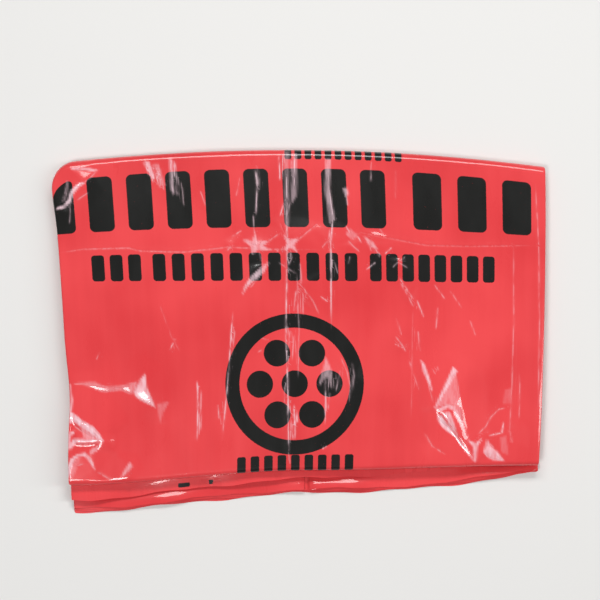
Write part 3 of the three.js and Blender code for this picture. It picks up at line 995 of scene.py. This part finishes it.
class Value:
    """What a node gives. Sums and products of it are further nodes."""

    def __init__(self, nodes, socket):
        self.nodes = nodes
        self.socket = socket

    def math(self, operation, other=0.0):
        return self.nodes.make("ShaderNodeMath", {0: self, 1: other}, operation=operation)

    def __add__(self, other):
        return self.math("ADD", other)

    def __sub__(self, other):
        return self.math("SUBTRACT", other)

    def __mul__(self, other):
        return self.math("MULTIPLY", other)

    def __truediv__(self, other):
        return self.math("DIVIDE", other)

    def __abs__(self):
        return self.math("ABSOLUTE")

    def at_least(self, other):
        return self.math("MAXIMUM", other)

    def at_most(self, other):
        return self.math("MINIMUM", other)


class Nodes:
    """A material's node tree, with short calls for the nodes that are used more than once."""

    def __init__(self, material):
        material.use_nodes = True
        self.tree = material.node_tree
        self.tree.nodes.clear()

    def set(self, socket, value):
        if isinstance(value, Value):
            self.tree.links.new(value.socket, socket)
        else:
            socket.default_value = value

    def make(self, kind, inputs, output=0, **settings):
        """Adds a node, gives it its inputs by name or number, and returns one of its outputs."""
        node = self.tree.nodes.new(kind)
        for name, value in settings.items():
            setattr(node, name, value)
        for key, value in inputs.items():
            self.set(node.inputs[key], value)
        return Value(self, node.outputs[output])

    def remap(self, value, low, high, to_low=0.0, to_high=1.0):
        inputs = dict(enumerate((value, low, high, to_low, to_high)))
        return self.make("ShaderNodeMapRange", inputs, interpolation_type="SMOOTHSTEP")

    def mix(self, factor, first, second):
        return self.make("ShaderNodeMix", {0: factor, 6: first, 7: second}, 2, data_type="RGBA")

    def noise(self, vector, scale, detail, roughness=0.5):
        inputs = {"Vector": vector, "Scale": scale, "Detail": detail, "Roughness": roughness}
        return self.make("ShaderNodeTexNoise", inputs, "Fac")

    def drawn_noise(self, vector, across, along, detail, roughness=0.5):
        inputs = {"Vector": vector, "Scale": (across, along, 1.0)}
        return self.noise(self.make("ShaderNodeMapping", inputs, "Vector"), 1.0, detail, roughness)

    def field(self, name):
        return self.make("ShaderNodeAttribute", {}, "Fac", attribute_name=name)

    def surface(self, inputs):
        """Ends the tree with the shader, which has these inputs."""
        shader = self.make("ShaderNodeBsdfPrincipled", inputs)
        output = self.tree.nodes.new("ShaderNodeOutputMaterial")
        self.set(output.inputs["Surface"], shader)


# The print, in millimetres on the flat film from the middle of the cover. Plain rounded blocks stand in rows:
# where the first one starts, pitch, number, the middle of the row, and a block's width, height and corner.
BLOCK_ROWS = [
    (-156, 24.1, 9, 70, 15.5, 36, 3.6),
    (69.3, 28, 3, 70, 18, 36, 3.6),
    (-132.5, 11.4, 3, 28.2, 8, 17, 2),
    (-94.5, 12, 11, 28.2, 8, 17, 2),
    (41.3, 10.2, 8, 28.2, 7.4, 17, 2),
    (-44.2, 8.7, 9, -93.8, 5.6, 9.6, 1.3),
    (-83.5, 15.2, 2, -494.5, 7.6, 2.6, 0.8),
    (-9.5, 6.2, 12, 97.5, 4.2, 7, 1.2),
]

# The round motif: a ring, dots in a circle and one dot in the middle
MOTIF_MIDDLE = (-7.2, -44.7)
MOTIF_RING_RADIUS = 39.7
MOTIF_RING_HALF_WIDTH = 4.5
MOTIF_DOT_RADIUS = 8.4
MOTIF_DOT_CIRCLE = 22.2
MOTIF_DOTS = 6


def length_of(x, y):
    return (x * x + y * y).math("SQRT")


def block_row_distance(u, v, start, pitch, number, middle, width, height, corner):
    """Distance to the nearest block of one row, negative inside it."""
    place = (u - (start + width / 2) * MM) / (pitch * MM)
    index = place.math("ROUND").at_most(number - 1).at_least(0.0)
    across = abs(place - index) * (pitch * MM)
    along = abs(v - middle * MM)
    over_x = across - (width / 2 - corner) * MM
    over_y = along - (height / 2 - corner) * MM
    return length_of(over_x.at_least(0.0), over_y.at_least(0.0)) - corner * MM


def motif_distance(u, v):
    """Distance to the round motif, negative inside its ring and dots."""
    x = u - MOTIF_MIDDLE[0] * MM
    y = v - MOTIF_MIDDLE[1] * MM
    radius = length_of(x, y)
    ring = abs(radius - MOTIF_RING_RADIUS * MM) - MOTIF_RING_HALF_WIDTH * MM
    middle_dot = radius - MOTIF_DOT_RADIUS * MM
    sector = 2 * math.pi / MOTIF_DOTS
    angle = y.math("ARCTAN2", x)
    turned = angle - (angle / sector).math("ROUND") * sector
    dot_x = radius * turned.math("COSINE") - MOTIF_DOT_CIRCLE * MM
    dot_y = radius * turned.math("SINE")
    outer_dot = length_of(dot_x, dot_y) - MOTIF_DOT_RADIUS * MM
    return ring.at_most(middle_dot.at_most(outer_dot))


# A noise is given by its scale across and along the bag, its detail and its roughness, and a range by two
# levels of noise and the two values that they become, or 0 and 1.

# The ink: how far its edge strays and softens, in metres, and how fine its edge and its pinholes are
INK_EDGE_STRAY = 0.0003
INK_EDGE_SOFTNESS = 0.00018
INK_EDGE_SCALE = 900.0
PINHOLE_SCALE = 1400.0
PINHOLE_RANGE = (0.77, 0.83, 1.0, 0.35)

# The red of the film, which varies in streaks and clouds
FILM_RED = (0.69, 0.038, 0.044, 1.0)
FILM_RED_PALE = (0.82, 0.064, 0.070, 1.0)
INK = (0.006, 0.006, 0.005, 1.0)
CLOUD_SCALE = 14.0
STREAK_NOISE = (160.0, 9.0, 3.0)
STREAK_SHARE = 0.14
TONE_RANGE = (0.3, 0.7)

# Painted highlights: film and ink are painted pale along the sharp creases, in a broken line that reaches
# this many millimetres, and in the painted highlight patches, broken up by noise
HIGHLIGHT_PINK = (0.93, 0.66, 0.72, 1.0)
HIGHLIGHT_REACH = 0.34
BROKEN_NOISE = (500.0, 110.0, 3.0)
BROKEN_RANGE = (0.36, 0.6, 0.15, 1.0)
PATCH_BREAKUP_NOISE = (420.0, 90.0, 4.0, 0.6)
PATCH_BREAKUP_RANGE = (0.3, 0.65, 0.5, 1.0)

# The gloss of the film, which scuffs make uneven
SCUFF_NOISE = (60.0, 22.0, 5.0, 0.6)
SCUFF_RANGE = (0.3, 0.75, 0.26, 0.38)
FILM_IOR = 1.5
FILM_SPECULAR = 0.14
FILM_COAT = 0.8
FILM_COAT_ROUGHNESS = 0.07

# Fine relief in the material, its height in metres: draw lines, crinkles and the ink's thickness
DRAW_LINE_NOISE = (700.0, 16.0, 2.0)
DRAW_LINE_SHARE = 0.25
CRINKLE_NOISE = (130.0, 75.0, 4.0, 0.55)
INK_RELIEF = 0.03
RELIEF_STRENGTH = 0.35
RELIEF_HEIGHT = 0.0003

# A ridge's fine crest: how far it reaches in millimetres, and its height in metres
RIDGE_REACH = 0.55
RIDGE_BUMP = 0.0003


def ink_share(nodes, flat):
    """How much ink there is: 1 inside a block or the motif, and 0 outside them."""
    u, v = (nodes.make("ShaderNodeSeparateXYZ", {0: flat}, part) for part in (0, 1))
    distance = motif_distance(u, v)
    for row in BLOCK_ROWS:
        distance = distance.at_most(block_row_distance(u, v, *row))
    ragged = nodes.noise(flat, INK_EDGE_SCALE, 2.0)
    distance = distance + (ragged - 0.5) * INK_EDGE_STRAY
    ink = nodes.remap(distance, INK_EDGE_SOFTNESS, -INK_EDGE_SOFTNESS)
    return ink * nodes.remap(nodes.noise(flat, PINHOLE_SCALE, 1.0), *PINHOLE_RANGE)


def film_colour(nodes, flat, ink, ridge_away):
    streaks = nodes.drawn_noise(flat, *STREAK_NOISE)
    clouds = nodes.noise(flat, CLOUD_SCALE, 2.0)
    tone = streaks * STREAK_SHARE + clouds * (1 - STREAK_SHARE)
    red = nodes.mix(nodes.remap(tone, *TONE_RANGE), FILM_RED, FILM_RED_PALE)
    printed = nodes.mix(ink, red, INK)
    # Painted highlights: pale lines along the ridges, and pale patches where crumpled facets would catch the
    # lights
    highlight_mask = (ridge_away / -HIGHLIGHT_REACH).math("EXPONENT") * nodes.field("ridge_highlight")
    highlight_mask = highlight_mask * nodes.remap(nodes.drawn_noise(flat, *BROKEN_NOISE), *BROKEN_RANGE)
    # The painted highlight patches, broken up by noise
    patch_breakup = nodes.remap(nodes.drawn_noise(flat, *PATCH_BREAKUP_NOISE), *PATCH_BREAKUP_RANGE)
    highlight_mask = highlight_mask.at_least(nodes.field("highlight_patch") * patch_breakup)
    return nodes.mix(highlight_mask, printed, HIGHLIGHT_PINK)


def film_normal(nodes, flat, ink, ridge_away):
    draw_lines = nodes.drawn_noise(flat, *DRAW_LINE_NOISE)
    relief = draw_lines * DRAW_LINE_SHARE + nodes.drawn_noise(flat, *CRINKLE_NOISE) + ink * INK_RELIEF
    fine = {"Height": relief, "Strength": RELIEF_STRENGTH, "Distance": RELIEF_HEIGHT}
    normal = nodes.make("ShaderNodeBump", fine)
    ridge = (ridge_away / -RIDGE_REACH).math("EXPONENT") * nodes.field("ridge_strength")
    crest = {"Height": ridge, "Strength": 1.0, "Distance": RIDGE_BUMP, "Normal": normal}
    return nodes.make("ShaderNodeBump", crest)


def film_material():
    material = bpy.data.materials.new("red_film")
    nodes = Nodes(material)
    flat = nodes.make("ShaderNodeUVMap", {}, uv_map="flat_film")
    ink = ink_share(nodes, flat)
    ridge_away = abs(nodes.field("ridge_distance"))
    nodes.surface({
        "Base Color": film_colour(nodes, flat, ink, ridge_away),
        "Roughness": nodes.remap(nodes.drawn_noise(flat, *SCUFF_NOISE), *SCUFF_RANGE),
        "IOR": FILM_IOR,
        "Specular IOR Level": FILM_SPECULAR,
        "Coat Weight": FILM_COAT,
        "Coat Roughness": FILM_COAT_ROUGHNESS,
        "Normal": film_normal(nodes, flat, ink, ridge_away),
    })
    return material


# The studio: a plain floor, a soft sky, and soft lights, each with its place, width, height and watts
FLOOR_HALF_SIDE = 6.0
FLOOR_COLOUR = (0.75, 0.74, 0.72, 1.0)
FLOOR_ROUGHNESS = 0.9
SKY_COLOUR = (0.95, 0.97, 1.0, 1.0)
SKY_STRENGTH = 0.215
LIGHTS = [
    ("front_left", (-0.40, -0.46, 1.3), 0.34, 0.34, 7.5),
    ("right_strip", (0.95, 0.0, 0.9), 0.14, 1.0, 5.2),
    ("back_strip", (0.0, 0.80, 1.1), 1.1, 0.26, 10),
]
LIGHT_AIM = (0, 0, 0)


def add_floor():
    side = FLOOR_HALF_SIDE
    corners = [(-side, -side, 0), (side, -side, 0), (side, side, 0), (-side, side, 0)]
    mesh = bpy.data.meshes.new("floor")
    mesh.from_pydata(corners, [], [(0, 1, 2, 3)])
    material = bpy.data.materials.new("studio_floor")
    Nodes(material).surface({"Base Color": FLOOR_COLOUR, "Roughness": FLOOR_ROUGHNESS})
    mesh.materials.append(material)
    add_object("floor", mesh)


def add_softbox(name, place, width, height, watts):
    data = bpy.data.lights.new(name, "AREA")
    data.shape = "RECTANGLE"
    data.size = width
    data.size_y = height
    data.energy = watts
    light = add_object(name, data)
    light.location = place
    direction = Vector(LIGHT_AIM) - Vector(place)
    light.rotation_euler = direction.to_track_quat("-Z", "Y").to_euler()


def add_lights():
    for light in LIGHTS:
        add_softbox(*light)
    bpy.context.scene.view_settings.view_transform = "Standard"
    world = bpy.data.worlds.new("studio")
    world.use_nodes = True
    background = world.node_tree.nodes["Background"]
    background.inputs["Color"].default_value = SKY_COLOUR
    background.inputs["Strength"].default_value = SKY_STRENGTH
    bpy.context.scene.world = world


film = build_film()
film.data.materials.append(film_material())
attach(film, "root")
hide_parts("film_bag")
add_floor()
add_lights()
